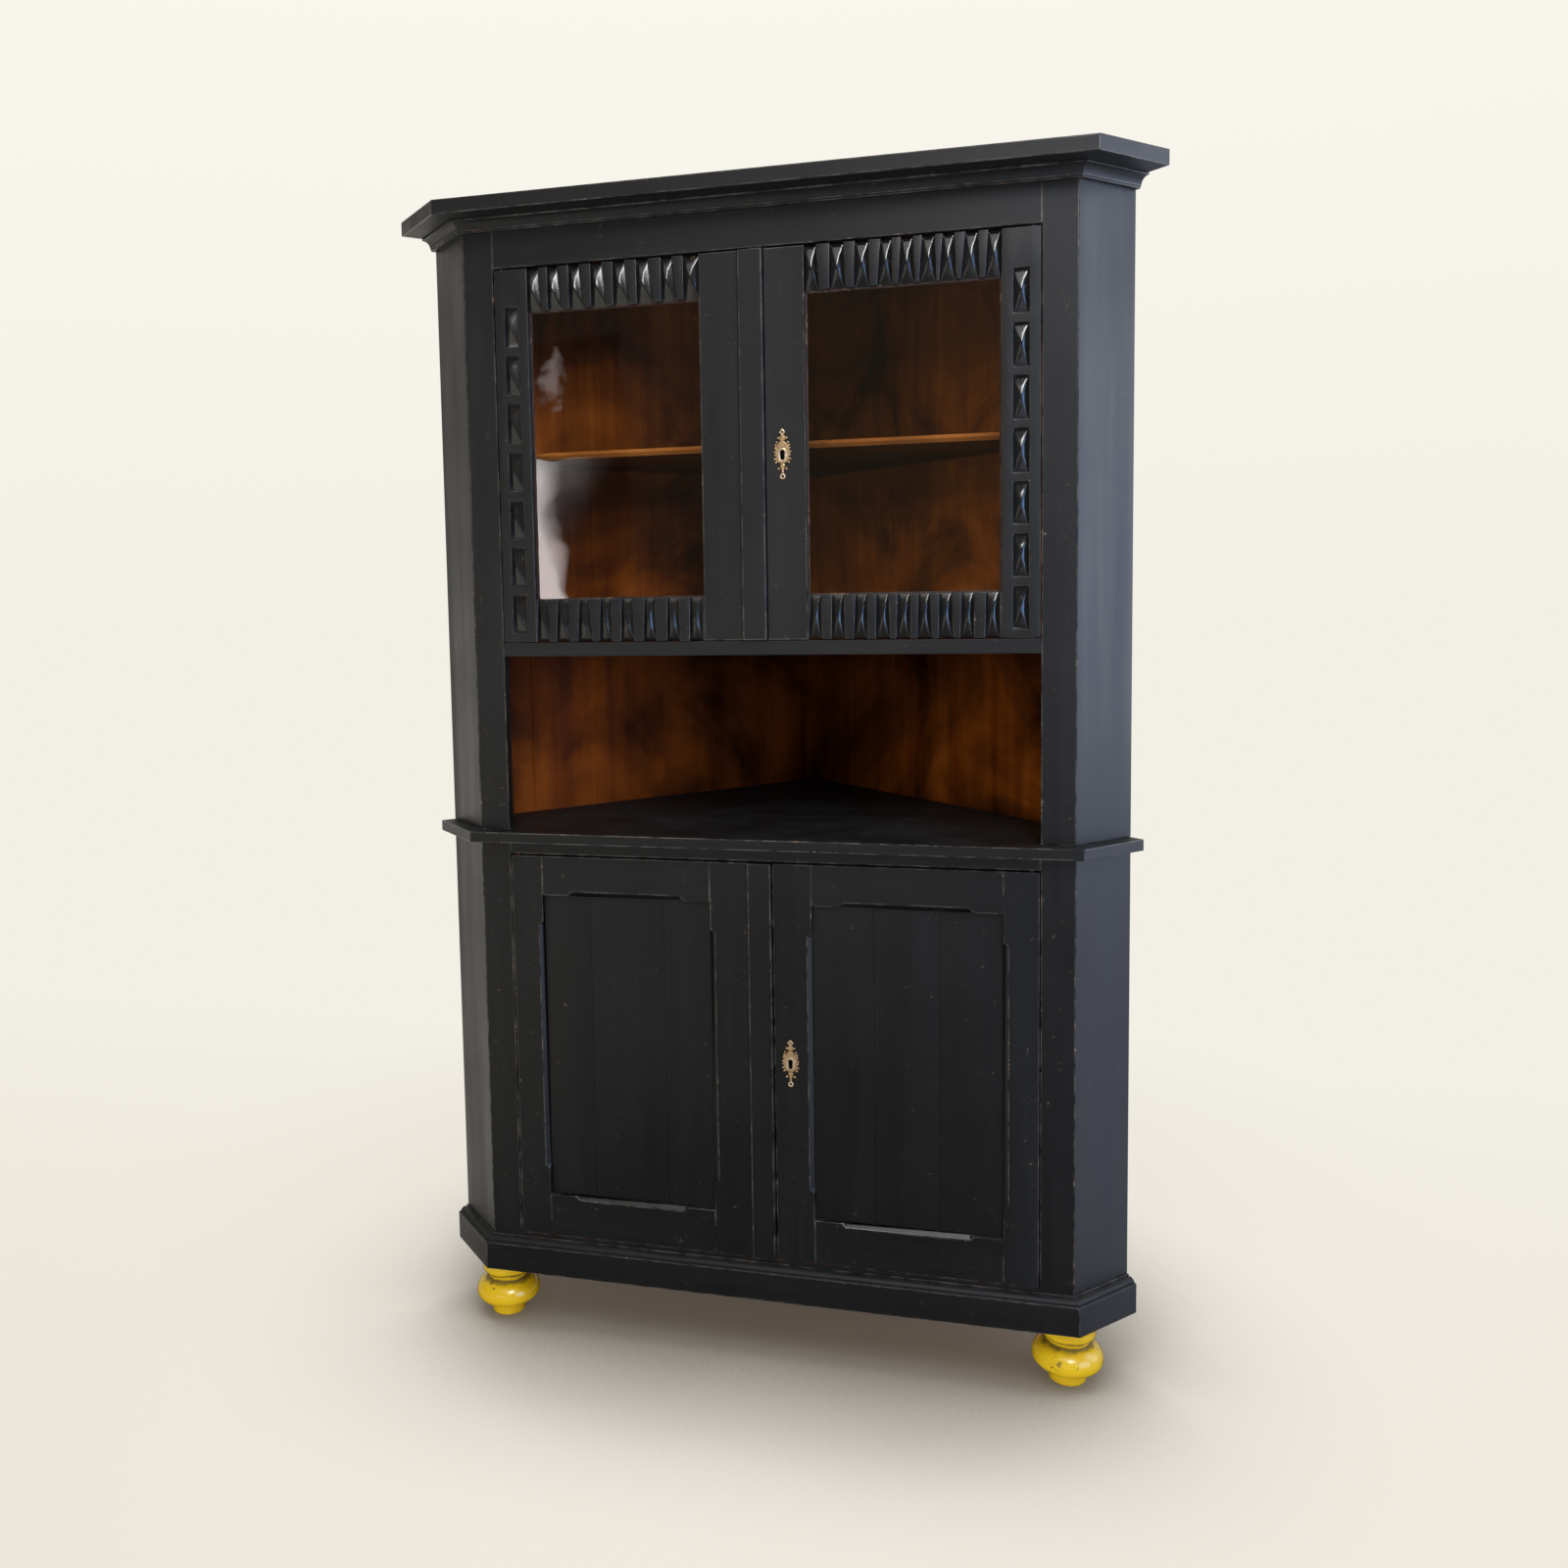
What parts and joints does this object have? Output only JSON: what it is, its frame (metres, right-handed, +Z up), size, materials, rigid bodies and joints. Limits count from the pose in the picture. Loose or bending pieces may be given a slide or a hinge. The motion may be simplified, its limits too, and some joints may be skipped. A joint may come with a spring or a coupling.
{
  "type": "corner cupboard",
  "caption": "Painted corner cupboard: glazed upper case with carved door frames, open niche, panelled lower cupboard, cornice, plinth and turned feet.",
  "frame": {"origin": "on the floor, in the middle of the outline box: halfway across the front and halfway from the top board's front edge to the rear corner", "axes": "+Z up, -Y out of the front through the doors, +X to the right of someone who faces the front; the two room walls meet at the +Y side"},
  "size_m": [1.3258, 0.775, 2.05],
  "materials": {
    "black_paint": "worn satin black paint",
    "stained_pine": "reddish brown stain, satin",
    "yellow_paint": "glossy yellow paint",
    "brass": "cast, worn bright",
    "iron": "dull, dark",
    "old_glass": "clear, slightly wavy"
  },
  "bodies": {
    "case": {"top_board": "black_paint", "cornice_front": "black_paint", "cornice_left": "black_paint", "cornice_right": "black_paint", "frieze_rail": "black_paint", "upper_stile_left": "black_paint", "upper_stile_right": "black_paint", "upper_return_left": "black_paint", "upper_return_right": "black_paint", "case_floor": "black_paint", "upper_shelf": "stained_pine", "waist_board": "black_paint", "lower_top_rail": "black_paint", "lower_stile_left": "black_paint", "lower_stile_right": "black_paint", "lower_return_left": "black_paint", "lower_return_right": "black_paint", "lower_shelf": "stained_pine", "floor_board": "stained_pine", "back_wall_left": "stained_pine", "back_wall_right": "stained_pine", "plinth_front": "black_paint", "plinth_left": "black_paint", "plinth_right": "black_paint", "foot_left": "yellow_paint", "foot_right": "yellow_paint", "foot_rear": "yellow_paint"},
    "upper_left_door": {"upper_left_door_outer_stile": "black_paint", "upper_left_door_inner_stile": "black_paint", "upper_left_door_bottom_rail": "black_paint", "upper_left_door_top_rail": "black_paint", "upper_left_door_glass": "old_glass", "upper_left_door_cover_strip": "black_paint"},
    "upper_right_door": {"upper_right_door_outer_stile": "black_paint", "upper_right_door_inner_stile": "black_paint", "upper_right_door_bottom_rail": "black_paint", "upper_right_door_top_rail": "black_paint", "upper_right_door_glass": "old_glass", "upper_right_door_escutcheon": "brass", "upper_right_door_lock_case": "iron"},
    "upper_lock_bolt": {"upper_right_door_lock_bolt": "iron"},
    "lower_left_door": {"lower_left_door_outer_stile": "black_paint", "lower_left_door_inner_stile": "black_paint", "lower_left_door_bottom_rail": "black_paint", "lower_left_door_top_rail": "black_paint", "lower_left_door_board_1": "black_paint", "lower_left_door_board_2": "black_paint", "lower_left_door_board_3": "black_paint", "lower_left_door_cover_strip": "black_paint"},
    "lower_right_door": {"lower_right_door_outer_stile": "black_paint", "lower_right_door_inner_stile": "black_paint", "lower_right_door_bottom_rail": "black_paint", "lower_right_door_top_rail": "black_paint", "lower_right_door_board_1": "black_paint", "lower_right_door_board_2": "black_paint", "lower_right_door_board_3": "black_paint", "lower_right_door_escutcheon": "brass", "lower_right_door_lock_case": "iron"},
    "lower_lock_bolt": {"lower_right_door_lock_bolt": "iron"}
  },
  "joints": [
    {"name": "upper_left_door_hinge", "type": "hinge", "parent": "case", "child": "upper_left_door", "pos_m": [-0.454, -0.31648, 1.6095], "axis": [0, 0, -1], "range_deg": [0, 110]},
    {"name": "upper_right_door_hinge", "type": "hinge", "parent": "case", "child": "upper_right_door", "pos_m": [0.454, -0.31648, 1.6095], "axis": [0, 0, 1], "range_deg": [0, 110]},
    {"name": "upper_lock_slide", "type": "slide", "parent": "upper_right_door", "child": "upper_lock_bolt", "axis": [-1, 0, 0], "range_m": [0, 0.012]},
    {"name": "lower_left_door_hinge", "type": "hinge", "parent": "case", "child": "lower_left_door", "pos_m": [-0.454, -0.31648, 0.5335], "axis": [0, 0, -1], "range_deg": [0, 110]},
    {"name": "lower_right_door_hinge", "type": "hinge", "parent": "case", "child": "lower_right_door", "pos_m": [0.454, -0.31648, 0.5335], "axis": [0, 0, 1], "range_deg": [0, 110]},
    {"name": "lower_lock_slide", "type": "slide", "parent": "lower_right_door", "child": "lower_lock_bolt", "axis": [-1, 0, 0], "range_m": [0, 0.012]}
  ]
}
